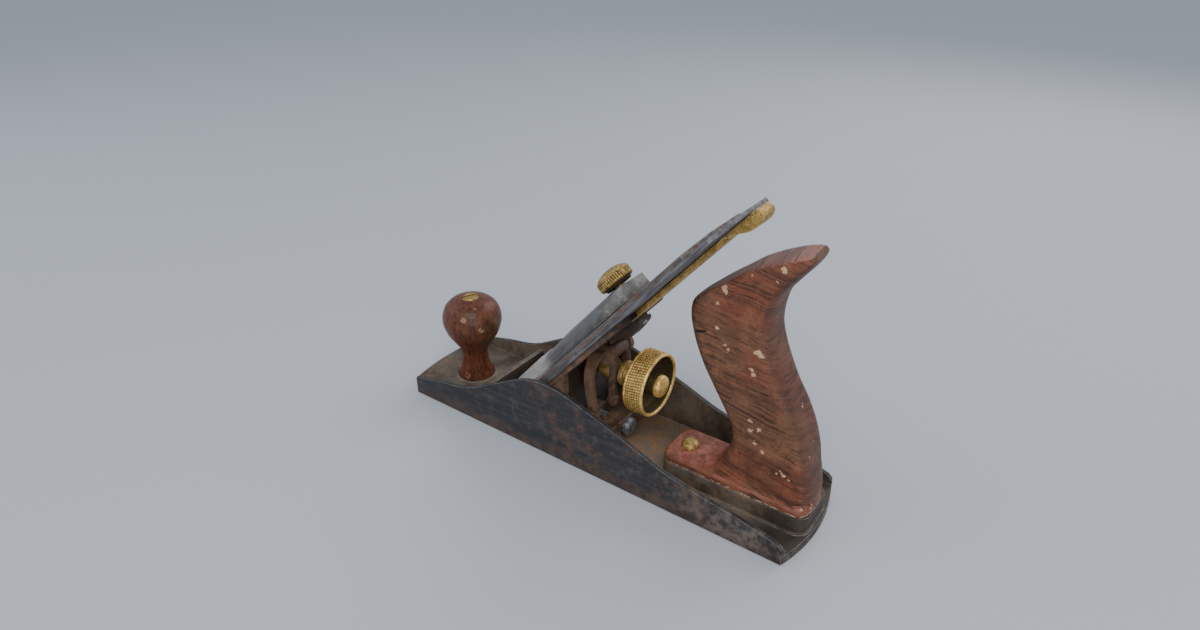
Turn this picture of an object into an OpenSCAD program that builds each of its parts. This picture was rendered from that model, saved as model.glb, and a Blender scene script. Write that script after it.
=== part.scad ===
// Metal bench smoothing plane. Origin at the centre of the sole, on the sole plane.
// +X points to the toe, +Y to the left cheek, +Z up. Millimetres.

/* [Casting] */
// Width over the cheeks
body_w = 62; // [58:0.5:66]
// Length of the straight sides
side_len = 238.8; // [230:0.2:250]
// How far the heel end bows out past the sides
heel_bow = 5.4; // [3:0.1:7]
// How far the toe end bows out past the sides
toe_bow = 4; // [3:0.1:6]
// Thickness of the sole
sole_t = 5; // [4:0.1:6]
// Thickness of each cheek
cheek_t = 2.2; // [2:0.1:4]
// Height of the toe deck
deck_z = 6; // [5:0.1:7]
// Height of the ridge in front of the throat
ridge_z = 18; // [15:0.5:20]
// Height of the pad that the frog stands on
seat_z = 9; // [8:0.1:9.5]
// Height of the plinth under the tote
plinth_z = 14.4; // [12:0.1:16]
// Half width of the mouth
mouth_half = 26.5; // [26:0.1:27]

/* [Bed] */
// Pitch of the bed above the sole
bed_pitch = 49; // [47:0.5:50]
// Where the bed plane meets the sole plane
bed_x = 60.7; // [60:0.1:61.5]

/* [Irons] */
// Half width of the cutting iron and cap iron
iron_half = 25; // [24:0.1:25.2]
// Upper end of the cutting iron, measured up the bed
iron_end = 205; // [200:1:212]
// Upper end of the cap iron, measured up the bed
cap_iron_end = 190; // [180:1:196]
// Thickness of the cutting iron
iron_t = 2.1; // [1.8:0.05:2.3]
// Thickness of the cap iron
cap_t = 2.25; // [1.8:0.05:2.4]

/* [Lever cap] */
// Height of the crown above the bed plane
crown_n = 11.8; // [11:0.1:12.5]
// Radius of the crown across the bed
crown_r = 32.6; // [30:0.1:36]
// Upper end of the lever cap, measured up the bed
lever_cap_end = 131; // [128:1:134]

/* [Thumbscrew] */
// Radius of the thumbscrew head
thumb_r = 9.7; // [9:0.1:10.5]
// Place of the thumbscrew up the bed
thumb_s = 119; // [118:0.5:120]

/* [Depth adjuster] */
// Height of the stud above the sole
stud_z = 47.5; // [47:0.1:48]
// Radius of the adjusting wheel
wheel_r = 17.2; // [15:0.1:17.5]
// Rear face of the adjusting wheel
wheel_back_x = -33.6; // [-34.5:0.1:-33]
// Front face of the adjusting wheel
wheel_front_x = -21.8; // [-22.5:0.1:-21]

/* [Knob] */
// Place of the knob along the sole
knob_x = 98.6; // [96:0.1:100]
// Largest radius of the knob
knob_r = 17.7; // [16:0.1:19]
// Height of the top of the knob above the sole
knob_top = 59; // [55:0.5:62]

/* [Tote] */
// Thickness of the tote grip
tote_w = 24; // [22:0.5:26]
// Half width of the tote base
tote_base_half = 14; // [13:0.1:14.4]
// Place of the brass screw in the toe of the tote
toe_screw_x = -53.6; // [-55:0.1:-52]

/* [Hidden] */
$fn = 64;

half_w = body_w / 2;
half_side = side_len / 2;
heel_r = (half_w * half_w + heel_bow * heel_bow) / (2 * heel_bow);
toe_r = (half_w * half_w + toe_bow * toe_bow) / (2 * toe_bow);
heel_cx = -half_side - heel_bow + heel_r;
toe_cx = half_side + toe_bow - toe_r;

// Heights above the bed plane: n is square to the bed and s runs up it.
iron_under_n = -3.2;
iron_top_n = iron_under_n + iron_t;
cap_under_n = iron_top_n + 0.05;
cap_top_n = cap_under_n + cap_t;
frog_face_n = iron_under_n - 0.05;
frog_under_n = -6;
frog_end_s = 122;
frog_half = 24;
frog_boss_n = -6.45;

cap_screw_s = 42;
lever_screw_s = 57;
yoke_s = 89.4;
yoke_n = -11.4;
rivet_s = 116;
disc_s = 103;
keyhole_travel = 9;

lug_x = 4;
lug_len = 8;
adjust_z = 13.9;
frog_floor_z = seat_z + 0.1;
frog_floor_t = 5;
frog_back_x = -12;
bar_front_x = -2;
wall_x = 9.5;
wall_t = 4;
rib_in = 12.4;
rib_t = 2.6;
clamp_x = 28;
clamp_y = 13;

groove_x = -9;
groove_half = 3.1;
stud_r = 3.2;
arm_in = 4.8;
arm_t = 2.6;

// A smooth curve through a list of points, with equal steps between each pair.
function spline(p, steps) = [
  for (i = [0 : len(p) - 2], k = [0 : steps - 1])
    let (a = p[max(i - 1, 0)], b = p[i], c = p[i + 1], d = p[min(i + 2, len(p) - 1)], t = k / steps)
      0.5 * (2 * b + (c - a) * t + (2 * a - 5 * b + 4 * c - d) * t * t + (3 * b - a - 3 * c + d) * t * t * t),
  p[len(p) - 1]
];

// Puts its children on the bed: local x runs up the bed, local z stands square to it.
module on_bed() {
  translate([bed_x, 0, 0]) rotate([0, bed_pitch, 0]) rotate([0, 0, 180]) children();
}

// Extrudes a side outline across the plane, centred on y = 0.
module across(width) {
  rotate([90, 0, 0]) linear_extrude(width, center = true) children();
}

// A cylinder along X from x0 to x1 at the given height.
module rod_x(x0, x1, z, r) {
  translate([x0, 0, z]) rotate([0, 90, 0]) cylinder(h = x1 - x0, r = r);
}

// A cylinder square to the bed at s from n0 to n1.
module rod_n(s, n0, n1, r) {
  translate([s, 0, n0]) cylinder(h = n1 - n0, r = r);
}

// A round-ended slot between two places up the bed.
module slot_n(s0, s1, half, n0, n1) {
  rod_n(s0, n0, n1, half);
  rod_n(s1, n0, n1, half);
  translate([s0, -half, n0]) cube([s1 - s0, 2 * half, n1 - n0]);
}

// Outline of the sole seen from above, with bowed heel and toe.
module sole_plan() {
  intersection() {
    square([300, body_w], center = true);
    union() {
      translate([heel_cx, 0]) circle(r = heel_r, $fn = 180);
      translate([0, -half_w]) square([150, body_w]);
    }
    union() {
      translate([toe_cx, 0]) circle(r = toe_r, $fn = 180);
      translate([-150, -half_w]) square([150, body_w]);
    }
  }
}

// A long footprint with rounded corners, seen from above.
module footprint(x0, x1, half, r_back, r_front) {
  translate([x0 + r_back, -half]) square([x1 - r_front - x0 - r_back, 2 * half]);
  translate([x0, r_back - half]) square([r_back + 1, 2 * (half - r_back)]);
  translate([x1 - r_front - 1, r_front - half]) square([r_front + 1, 2 * (half - r_front)]);
  for (side = [-1, 1]) {
    translate([x0 + r_back, side * (half - r_back)]) circle(r_back);
    translate([x1 - r_front, side * (half - r_front)]) circle(r_front);
  }
}

// Top edge of the cheeks from heel to toe.
cheek_top = spline([
  [-121, 6.4], [-118.2, 9.3], [-115, 11], [-98, 15.2], [-76, 18.6], [-54, 23.1], [-33, 31], [-11, 38.6],
  [8, 44], [20, 44.7], [33, 42], [54, 31.2], [76, 19.8], [98, 15.3], [118.6, 10.6], [122, 10.2]
], 4);
cheek_side = concat([[half_side + 4, 10.1], [half_side + 4, 0], [-half_side - 2.4, 0], [-half_side - 2.4, 5.5]], cheek_top);

// Toe deck, ramp and throat face seen from the side.
deck_side = concat(
  [[63.6, 0], [64.6, 5], [67.9, ridge_z - 1.4], [68.7, ridge_z], [71, ridge_z]],
  spline([[72.2, ridge_z - 0.6], [76.5, 12], [80.5, 8], [85.6, deck_z]], 4),
  [[130, deck_z], [130, 0]]
);

module toe_rim() {
  intersection() {
    linear_extrude(10) sole_plan();
    difference() {
      translate([half_side - 12, 1.6 - half_w, deck_z - 1]) cube([20, body_w - 3.2, 20]);
      translate([toe_cx, 0, deck_z - 1]) cylinder(h = 6, r1 = toe_r - 9.6, r2 = toe_r + 0.6, $fn = 180);
    }
  }
}

module knob_ring() {
  translate([knob_x, 0, deck_z - 0.5]) rotate_extrude()
    polygon([[5, 0], [12.6, 0], [12.6, 0.8], [12.1, 1.2], [11.5, 1.2], [11, 0.8], [11, 0.5], [5, 0.5]]);
}

module tote_plinth() {
  translate([0, 0, sole_t - 1]) linear_extrude(plinth_z - sole_t + 1)
    footprint(-122.6, -43.2, 14.4, 6, 8);
  translate([0, 0, sole_t - 1]) linear_extrude(1.5) footprint(-123.4, -42.2, 15.4, 6.8, 8.8);
}

module frog_seat() {
  translate([-11.4, -20, sole_t - 1]) cube([52.2, 40, seat_z - sole_t + 1]);
  difference() {
    translate([lug_x, -6, sole_t]) cube([lug_len, 12, adjust_z + 5.1 - sole_t]);
    rod_x(lug_x - 1, lug_x + lug_len + 1, adjust_z, 3.1);
  }
}

module mouth() {
  across(2 * mouth_half) polygon([[63.6, -1], [64.6, 5], [65, 6], [49.4, 6], [50.2, 5], [54.5, -1]]);
}

module body() {
  color("#49525a") difference() {
    union() {
      linear_extrude(sole_t) sole_plan();
      intersection() {
        linear_extrude(50) sole_plan();
        for (side = [-1, 1])
          translate([0, side * (half_w - cheek_t / 2), 0]) across(cheek_t) polygon(cheek_side);
      }
      intersection() {
        linear_extrude(30) sole_plan();
        across(body_w - cheek_t) polygon(deck_side);
      }
      toe_rim();
      knob_ring();
      tote_plinth();
      frog_seat();
    }
    mouth();
    translate([knob_x, 0, 2]) cylinder(h = 10, r = 3.02);
    translate([-88, 0, 2.5]) cylinder(h = 20, r = 3.02);
    translate([toe_screw_x, 0, 4]) cylinder(h = 20, r = 2.42);
    for (side = [-1, 1]) translate([clamp_x, side * clamp_y, 2.2]) cylinder(h = 10, r = 2.92);
  }
}

// Front and back edges of the frog ribs, seen from the side.
rib_back = spline([[-8.5, 66], [-6, 59.5], [-3, 53], [-1.8, 46], [-2.4, 37], [-4.2, 26], [-7, 18]], 3);
rib_front = spline([[0.4, 20], [0.8, 27], [2.6, 37], [3.5, 46], [2.6, 53], [0, 62]], 3);

module frog_plate() {
  on_bed() difference() {
    intersection() {
      across(2 * frog_half) polygon([
        [13.4, frog_face_n], [frog_end_s, frog_face_n], [frog_end_s, frog_under_n], [15.6, frog_under_n]
      ]);
      translate([0, 0, -20]) linear_extrude(40) footprint(-20, frog_end_s, frog_half, 5, 12);
    }
    // Slot for the yoke finger.
    translate([yoke_s - 5, -4.2, -20]) cube([10, 8.4, 40]);
    // Window for the head of the cap iron screw.
    slot_n(cap_screw_s - 1.5, cap_screw_s + 1.5, 8.4, -20, 20);
  }
}

module frog_lugs() {
  on_bed() {
    difference() {
      for (side = [-1, 1]) translate([0, side * 9, 0]) {
        translate([yoke_s, 0, yoke_n]) rotate([90, 0, 0]) cylinder(h = 2.8, r = 4.5, center = true);
        translate([yoke_s - 4.5, -1.4, yoke_n]) cube([9, 2.8, frog_under_n - yoke_n + 1]);
      }
      translate([yoke_s, 20, yoke_n]) rotate([90, 0, 0]) cylinder(h = 40, r = 1.62);
    }
    // Tongue and lug under the lateral lever, then the boss that the lever cap screw threads into.
    difference() {
      union() {
        translate([0, 0, -8.2]) linear_extrude(2.3) footprint(94, 118.6, 8, 4, 7);
        across(11) polygon([[100, -8], [100, -10], [106, -11.8], [112, -11.2], [116.6, -10.4], [118.2, -9.4], [118.5, -8]]);
      }
      rod_n(rivet_s, -20, 0, 2.02);
    }
    difference() {
      rod_n(lever_screw_s, -14, frog_under_n + 0.5, 5.6);
      rod_n(lever_screw_s, -20, 0, 3.02);
    }
  }
}

// Side outline under the bed plate between two places along the sole.
function under_bed(x0, x1, z0) = [
  [x0, z0], [x1, z0], [x1, (bed_x + (frog_under_n + 0.4) / sin(bed_pitch) - x1) * tan(bed_pitch)],
  [x0, (bed_x + (frog_under_n + 0.4) / sin(bed_pitch) - x0) * tan(bed_pitch)]
];

module frog_block() {
  difference() {
    union() {
      translate([frog_back_x, -20.5, frog_floor_z]) cube([55.6, 41, frog_floor_t]);
      translate([frog_back_x, -20.5, frog_floor_z]) cube([bar_front_x - frog_back_x, 41, 17.5 - frog_floor_z]);
      across(2 * frog_half - 0.4) polygon(under_bed(wall_x, wall_x + wall_t, frog_floor_z));
      rod_x(4, wall_x + 1, stud_z, 5.6);
      for (side = [-1, 1]) {
        translate([0, side * (frog_half - 1.9), 0]) across(3.4)
          polygon(under_bed(wall_x, 43.6, frog_floor_z));
        translate([0, side * (rib_in + rib_t / 2), 0]) across(rib_t)
          polygon(concat(rib_back, [[-7, 16], [0.4, 16]], rib_front));
      }
    }
    // Room for the lug that the adjusting screw threads into.
    translate([bar_front_x - 0.01, -8, seat_z - 1]) cube([18.5, 16, 12]);
    rod_x(frog_back_x - 1, 0, adjust_z, 3.08);
    for (side = [-1, 1]) translate([clamp_x, side * clamp_y, 0]) {
      translate([-2, -3.1, 5]) cube([4, 6.2, 12]);
      for (shift = [-2, 2]) translate([shift, 0, 5]) cylinder(h = 12, r = 3.1);
    }
    translate([frog_back_x - 1, -10, adjust_z - 0.6]) rotate([0, 90, 0]) cylinder(h = 7, r = 1.52);
  }
}

module frog() {
  color("#6d4a35") difference() {
    union() {
      frog_plate();
      frog_block();
      frog_lugs();
    }
    on_bed() rod_n(lever_screw_s, -20, 0, 3.02);
    on_bed() translate([95.6, -6.8, frog_boss_n]) cube([50, 13.6, 20]);
    rod_x(-20, 10.9, stud_z, stud_r + 0.02);
    for (side = [-1, 1]) translate([clamp_x, side * clamp_y, 20]) cylinder(h = 40, r = 6.4);
  }
}

module slotted_disc(r, h, slot_w, slot_d) {
  difference() {
    cylinder(h = h, r = r);
    translate([-r - 1, -slot_w / 2, h - slot_d]) cube([2 * r + 2, slot_w, slot_d + 1]);
  }
}

module frog_clamp_screws() {
  color("#5b5f63") for (side = [-1, 1]) translate([clamp_x, side * clamp_y, 0]) {
    translate([0, 0, 2.4]) cylinder(h = 14, r = 2.9);
    translate([0, 0, frog_floor_z + frog_floor_t + 1.35]) rotate([0, 0, side * 25]) slotted_disc(5.4, 3.6, 1.2, 1.8);
  }
}

module frog_clamp_washers() {
  color("#777b7e") for (side = [-1, 1])
    translate([clamp_x, side * clamp_y, frog_floor_z + frog_floor_t + 0.1]) difference() {
      cylinder(h = 1.25, r = 6.6);
      translate([0, 0, -1]) cylinder(h = 4, r = 2.95);
    }
}

module frog_adjusting_screw() {
  color("#4a5056") {
    rod_x(-11.85, lug_x + lug_len + 4, adjust_z, 3);
    rod_x(-14.5, -11, adjust_z, 2.2);
    translate([-13.75, 0, adjust_z]) rotate([0, -90, 0])
      rotate_extrude() polygon(concat([[0, 0], [4.6, 0], [5.2, 0.6], [5.3, 2]], spline([[5.1, 2.8], [3.6, 4], [0, 4.7]], 4)));
  }
}

module frog_fork_plate() {
  color("#5d4a3c") difference() {
    translate([-13.65, -14.5, 9.7]) cube([1.6, 20.5, 8.6]);
    rod_x(-15, -10, adjust_z, 2.35);
    translate([-15, -2.35, 0]) cube([5, 4.7, adjust_z]);
    translate([-15, -10, adjust_z - 0.6]) rotate([0, 90, 0]) cylinder(h = 5, r = 1.6);
  }
}

module fork_plate_screw() {
  color("#5b5f63") translate([-13.7, -10, adjust_z - 0.6]) {
    rotate([0, 90, 0]) cylinder(h = 7, r = 1.5);
    rotate([0, -90, 0]) slotted_disc(2.9, 1.7, 0.8, 0.9);
  }
}

// Outline of a blade seen square to the bed, with the two top corners clipped.
module blade_plan(s0, s1) {
  polygon([
    [s0, -iron_half], [s0, iron_half], [s1 - 12, iron_half], [s1, iron_half - 12],
    [s1, 12 - iron_half], [s1 - 12, -iron_half]
  ]);
}

module cutting_iron() {
  color("#6a747c") on_bed() difference() {
    intersection() {
      translate([0, 0, -10]) linear_extrude(20) blade_plan(0, iron_end);
      across(2 * iron_half + 2) polygon([
        [1.5, iron_top_n], [iron_end, iron_top_n], [iron_end, iron_under_n], [1.5 + 2 * iron_t, iron_under_n]
      ]);
    }
    slot_n(34, 150, 5.6, -10, 10);
    rod_n(150, -10, 10, 9);
  }
}

module cap_iron() {
  color("#5f6c78") on_bed() difference() {
    intersection() {
      translate([0, 0, -10]) linear_extrude(20) blade_plan(0, cap_iron_end);
      across(2 * iron_half) polygon(concat(
        spline([[3, cap_under_n], [5, 0.8], [8.5, 2.5], [13, 3], [18, 2.7], [24, 1.9], [31, cap_top_n]], 3),
        [[cap_iron_end, cap_top_n], [cap_iron_end, cap_under_n], [30, cap_under_n]],
        spline([[25, -0.8], [18, 0.7], [13, 1.3], [8.5, 0.8], [5.6, -0.6], [4.4, cap_under_n]], 3)
      ));
    }
    rod_n(cap_screw_s, -10, 10, 3.05);
    slot_n(lever_screw_s - 3, lever_screw_s + 3, 5, -10, 10);
    translate([yoke_s - 3, -4, -10]) cube([6, 8, 20]);
  }
}

module cap_iron_screw() {
  color("#54585c") on_bed() {
    rod_n(cap_screw_s, iron_under_n - 1, cap_top_n - 0.1, 3);
    translate([cap_screw_s, 0, iron_under_n - 0.05]) rotate([180, 0, 30]) slotted_disc(7, 2.5, 1.4, 1.2);
  }
}

// Side outline of the lever cap, from its lower edge up the crown and back along the underside.
lever_cap_side = concat(
  [[12, 3.3], [12, 5]], spline([[12.2, 7], [14, 10.4], [20, 12]], 4),
  [[106, 12]], spline([[112, 11.6], [124, 10.8], [lever_cap_end, 10]], 2),
  [[lever_cap_end, 3], [100, 1.5], [34, 1.5], [27, 2.3], [20, 3.2]]
);

// Shield outline of the lever cap seen square to the bed.
lever_cap_edge = spline([[102, 21.6], [112, 20], [119, 15.5], [126, 9], [lever_cap_end, 5.4]], 4);

module lever_cap() {
  color("#8b9196") on_bed() difference() {
    intersection() {
      across(60) polygon(lever_cap_side);
      translate([0, 0, -5]) linear_extrude(30) polygon(concat(
        [[10, -22.6]], [for (p = lever_cap_edge) [p[0], -p[1]]],
        [for (i = [len(lever_cap_edge) - 1 : -1 : 0]) lever_cap_edge[i]], [[10, 22.6]]
      ));
      translate([0, 0, crown_n - crown_r]) rotate([0, 90, 0]) cylinder(h = 150, r = crown_r, $fn = 128);
    }
    // Hollow underside, with the front lip and the thumbscrew boss left solid.
    translate([24, -18.6, -5]) cube([84, 37.2, 9.8]);
    // Keyhole, its recess, and the shallow dish above it.
    slot_n(lever_screw_s - keyhole_travel, lever_screw_s, 3.3, -5, 20);
    rod_n(lever_screw_s - keyhole_travel, -5, 20, 6.8);
    slot_n(lever_screw_s - keyhole_travel, lever_screw_s, 8.2, 7.6, 20);
    rod_n(lever_screw_s + 8, 9, 20, 11);
    rod_n(thumb_s, -5, 20, 3.05);
  }
}

module lever_cap_screw() {
  color("#5b5f63") on_bed() {
    rod_n(lever_screw_s, -13.5, 8, 3);
    translate([lever_screw_s, 0, 7.7]) rotate([0, 0, 35]) slotted_disc(6.2, 2.9, 1.3, 1.4);
  }
}

module thumbscrew_shank() {
  color("#b08d3c") on_bed() {
    rod_n(thumb_s, cap_top_n + 0.05, 12, 3);
    rod_n(thumb_s, 11.9, 19, 2.2);
  }
}

module thumbscrew_head() {
  color("#c39a3f") on_bed() translate([thumb_s, 0, 13.3]) difference() {
    rotate_extrude() polygon(concat(
      [[0, -1.2], [7.2, -1.2], [7.5, -0.9], [7.5, 0], [thumb_r - 1, 0], [thumb_r, 0.8], [thumb_r, 4.8]],
      spline([[thumb_r - 0.6, 5.6], [thumb_r - 3.4, 7], [0, 8.4]], 4)
    ));
    translate([0, 0, -2]) cylinder(h = 7.8, r = 2.25);
  }
}

module lateral_lever() {
  color("#bd9440") on_bed() difference() {
    union() {
      translate([0, 0, -6.2]) linear_extrude(2.75) {
        footprint(97, 196, 5, 4.9, 1);
        translate([rivet_s, 0]) circle(6.4);
      }
      across(11) polygon(concat(
        [[185, -3.45], [208.6, -3.45]],
        spline([[209.3, -4.3], [209.6, -6.3], [208.8, -8.2], [206.2, -9.4], [202.6, -9.5], [199, -8.9], [196, -7.6], [193, -6.2]], 4)
      ));
    }
    rod_n(rivet_s, -20, 0, 2.06);
    rod_n(disc_s, -20, 0, 2.0);
  }
}

module lateral_disc() {
  color("#70777d") on_bed() {
    rod_n(disc_s, -3.4, iron_top_n - 0.2, 5.3);
    rod_n(disc_s, -6.1, -3.3, 1.98);
  }
}

module lateral_rivet() {
  color("#70777d") on_bed() {
    rod_n(rivet_s, -10.5, -3.5, 2);
  }
}

module depth_stud() {
  color("#6d7276") rod_x(-31.4, 10.8, stud_z, stud_r);
}

module depth_collar() {
  color("#b98f3a") difference() {
    union() {
      rod_x(groove_x + groove_half, 0.2, stud_z, 6);
      rod_x(groove_x - groove_half, groove_x + groove_half, stud_z, 4.4);
      rod_x(-14.6, groove_x - groove_half, stud_z, 7);
      rod_x(wheel_front_x + 0.1, -14.6, stud_z, 5.6);
      rod_x(-33, wheel_front_x + 0.2, stud_z, 4.6);
    }
    rod_x(-40, 5, stud_z, stud_r + 0.06);
  }
}

module depth_wheel() {
  color("#caa24a") translate([0, 0, stud_z]) rotate([0, -90, 0]) difference() {
    rotate_extrude() polygon(concat(
      [[4.66, -wheel_front_x], [wheel_r - 1.2, -wheel_front_x], [wheel_r, 1 - wheel_front_x],
      [wheel_r, -wheel_back_x - 0.8], [wheel_r - 0.5, -wheel_back_x], [wheel_r - 1.5, -wheel_back_x],
      [wheel_r - 1.9, -wheel_back_x - 1], [wheel_r - 2.2, -wheel_front_x + 5], [wheel_r - 3.6, -wheel_front_x + 3.6],
      [7.4, -wheel_front_x + 3.4], [6.2, -wheel_front_x + 4.4], [6, -wheel_front_x + 12.4]],
      spline([[5.8, 35.2], [5, 36.3], [3, 36.9], [0, 37.1]], 3),
      [[0, 33.9], [4.66, 33.9]]
    ));
  }
}

// The yoke arm seen from the side: a hub, an arm that drops behind the collar, and a round foot.
module yoke_arm() {
  hub_x = bed_x - yoke_s * cos(bed_pitch) + yoke_n * sin(bed_pitch);
  hub_z = yoke_s * sin(bed_pitch) + yoke_n * cos(bed_pitch);
  polygon([
    [hub_x - 2.8, hub_z], [hub_x + 2.6, hub_z - 2], [groove_x + 2, 54], [groove_x + 2, 34],
    [groove_x - 2, 34], [groove_x - 2, 55]
  ]);
  translate([groove_x - 0.3, 32.5]) circle(r = 3.2, $fn = 40);
}

module yoke() {
  color("#5f4636") {
    on_bed() difference() {
      union() {
        translate([yoke_s, 0, yoke_n]) rotate([90, 0, 0]) cylinder(h = 14.8, r = 3.9, center = true);
        translate([yoke_s - 1.8, -2.5, yoke_n]) cube([3.6, 5, -yoke_n - 0.2]);
      }
      translate([yoke_s, 20, yoke_n]) rotate([90, 0, 0]) cylinder(h = 40, r = 1.65);
    }
    for (side = [-1, 1]) translate([0, side * (arm_in + arm_t / 2), 0]) difference() {
      across(arm_t) yoke_arm();
      on_bed() translate([yoke_s, 20, yoke_n]) rotate([90, 0, 0]) cylinder(h = 40, r = 3.5);
    }
  }
}

module yoke_pin() {
  color("#70777d") on_bed() translate([yoke_s, 0, yoke_n]) rotate([90, 0, 0]) cylinder(h = 21.6, r = 1.6, center = true);
}

module knob() {
  color("#5d3324") translate([knob_x, 0, 0]) difference() {
    rotate_extrude($fn = 96) polygon(concat(
      [[0, deck_z + 0.05], [10.6, deck_z + 0.05]],
      spline([[10.8, deck_z + 1], [9.7, 10.5], [8.1, 15.5], [7.6, 20.5], [8.5, 25], [11.6, 30], [15.4, 36],
        [knob_r - 0.4, 41.5], [knob_r, 45], [knob_r - 0.5, 49], [15.3, 53.4], [11.6, 56.8], [7.4, 58.6], [5.4, knob_top]], 4),
      [[0, knob_top]]
    ));
    translate([0, 0, 50]) cylinder(h = 20, r = 5.1);
    translate([0, 0, 5]) cylinder(h = 60, r = 3.2);
  }
}

module knob_rod() {
  color("#6d7276") translate([knob_x, 0, 2.1]) cylinder(h = 53, r = 3);
}

module knob_nut() {
  color("#c39a3f") translate([knob_x, 0, 50.1]) difference() {
    rotate_extrude() polygon(concat([[3.05, 0], [5, 0], [5, 8.7]], spline([[4.6, 9.2], [2.6, 9.7], [0, 9.9]], 3), [[0, 5.2], [3.05, 5.2]]));
    rotate([0, 0, 60]) translate([-6, -0.8, 7.6]) cube([12, 1.6, 4]);
  }
}

// Side outline of the tote above its base: front of the grip, flat top to the horn, and back.
tote_front = spline([[-72, 17], [-75.2, 26], [-78, 35], [-78.8, 43], [-76.6, 50.5], [-70, 60.6], [-60.8, 75],
  [-55.8, 86], [-53, 97], [-52.8, 105.6]], 4);
tote_top = spline([[-52.8, 105.6], [-55, 108.6], [-65.2, 117.4], [-79.2, 128.5], [-92.1, 136.2], [-101, 140.6], [-105.2, 142.2]], 3);
tote_back = spline([[-105.2, 142.2], [-107.8, 141.6], [-108.2, 138.8], [-105.8, 134.8], [-102, 129.7], [-98, 124.6], [-94.4, 118.6],
  [-92.6, 110.8], [-92.5, 102], [-94.6, 92.5], [-100, 80], [-109.2, 65], [-114.4, 54], [-117.6, 43.5], [-120.1, 32], [-121.6, 22], [-122, 15]], 3);

module tote_outline() {
  polygon(concat(tote_front, tote_top, tote_back));
}

module tote() {
  color("#6b3a27") difference() {
    union() {
      across(tote_w - 8) tote_outline();
      across(tote_w - 3) offset(delta = -1.4) tote_outline();
      across(tote_w) offset(delta = -4) tote_outline();
      translate([0, 0, plinth_z + 0.05]) linear_extrude(2.6) footprint(-122.2, -43.6, tote_base_half, 6, 8);
      translate([0, 0, plinth_z + 1]) linear_extrude(2.8) footprint(-121.4, -44.4, tote_base_half - 0.9, 5.4, 7.4);
    }
    translate([-88, 0, 10]) cylinder(h = 66, r = 3.2);
    translate([toe_screw_x, 0, 10]) cylinder(h = 20, r = 2.5);
  }
}

module tote_rod() {
  color("#6d7276") translate([-88, 0, 2.6]) cylinder(h = 73, r = 3);
}

module tote_toe_screw() {
  color("#c39a3f") translate([toe_screw_x, 0, 0]) {
    translate([0, 0, 4.2]) cylinder(h = 14.5, r = 2.4);
    translate([0, 0, plinth_z + 3.85]) difference() {
      rotate_extrude() polygon(concat([[0, 0], [4.7, 0], [4.7, 0.8]], spline([[4.3, 2], [2.9, 3.1], [0, 3.6]], 4)));
      rotate([0, 0, 15]) translate([-6, -0.6, 2.6]) cube([12, 1.2, 3]);
    }
  }
}

body();
frog();
frog_clamp_screws();
frog_clamp_washers();
frog_adjusting_screw();
frog_fork_plate();
fork_plate_screw();
cutting_iron();
cap_iron();
cap_iron_screw();
lever_cap();
lever_cap_screw();
thumbscrew_shank();
thumbscrew_head();
lateral_lever();
lateral_disc();
lateral_rivet();
depth_stud();
depth_collar();
depth_wheel();
yoke();
yoke_pin();
knob();
knob_rod();
knob_nut();
tote();
tote_rod();
tote_toe_screw();
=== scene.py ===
import math

import bmesh
import bpy
from mathutils import Matrix, Vector


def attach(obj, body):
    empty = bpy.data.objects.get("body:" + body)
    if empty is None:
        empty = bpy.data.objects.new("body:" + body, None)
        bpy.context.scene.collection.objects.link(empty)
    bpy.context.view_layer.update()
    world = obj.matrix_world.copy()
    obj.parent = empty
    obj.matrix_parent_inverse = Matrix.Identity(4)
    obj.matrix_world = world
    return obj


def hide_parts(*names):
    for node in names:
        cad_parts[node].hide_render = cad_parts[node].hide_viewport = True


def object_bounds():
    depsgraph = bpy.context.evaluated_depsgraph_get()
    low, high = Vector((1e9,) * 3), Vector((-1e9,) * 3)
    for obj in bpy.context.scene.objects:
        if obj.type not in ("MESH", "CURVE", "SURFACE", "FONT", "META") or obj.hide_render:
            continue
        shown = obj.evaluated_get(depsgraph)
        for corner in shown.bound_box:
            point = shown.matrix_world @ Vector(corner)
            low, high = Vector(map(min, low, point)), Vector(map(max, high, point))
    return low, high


# Metal bench smoothing plane. Points are written in millimetres, as in the part's source,
# and made metres as the pieces are built. +X is the toe, +Y the left cheek, +Z up.
MM = 0.001

# Driving dimensions, the same as in the part's source.
BED_ANGLE = 49
BED_PITCH = math.radians(BED_ANGLE)
BED_FOOT = Vector((60.7, 0, 0)) * MM
BED_UP = Vector((-math.cos(BED_PITCH), 0, math.sin(BED_PITCH)))
BED_OUT = Vector((math.sin(BED_PITCH), 0, math.cos(BED_PITCH)))
CHEEK_THICKNESS = 2.2
HEEL_BOW, TOE_BOW = 5.4, 4
STUD_HEIGHT = 47.5
WHEEL_RADIUS, WHEEL_FRONT, WHEEL_BACK = 17.2, 21.8, 33.6
THUMBSCREW_RADIUS, THUMBSCREW_PLACE = 9.7, 119
KNOB_PLACE, KNOB_RADIUS, KNOB_TOP = 98.6, 17.7, 59
TOE_SCREW_PLACE = -53.6

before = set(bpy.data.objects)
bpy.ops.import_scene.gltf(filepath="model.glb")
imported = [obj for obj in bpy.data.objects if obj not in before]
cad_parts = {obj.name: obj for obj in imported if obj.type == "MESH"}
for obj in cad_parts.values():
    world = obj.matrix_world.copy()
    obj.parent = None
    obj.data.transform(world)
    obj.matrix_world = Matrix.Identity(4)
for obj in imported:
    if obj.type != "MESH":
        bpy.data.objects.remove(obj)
cad_box = [list(corner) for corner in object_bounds()]
HEEL_END, TOE_END, HALF_WIDTH = cad_box[0][0] / MM, cad_box[1][0] / MM, cad_box[1][1] / MM


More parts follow.
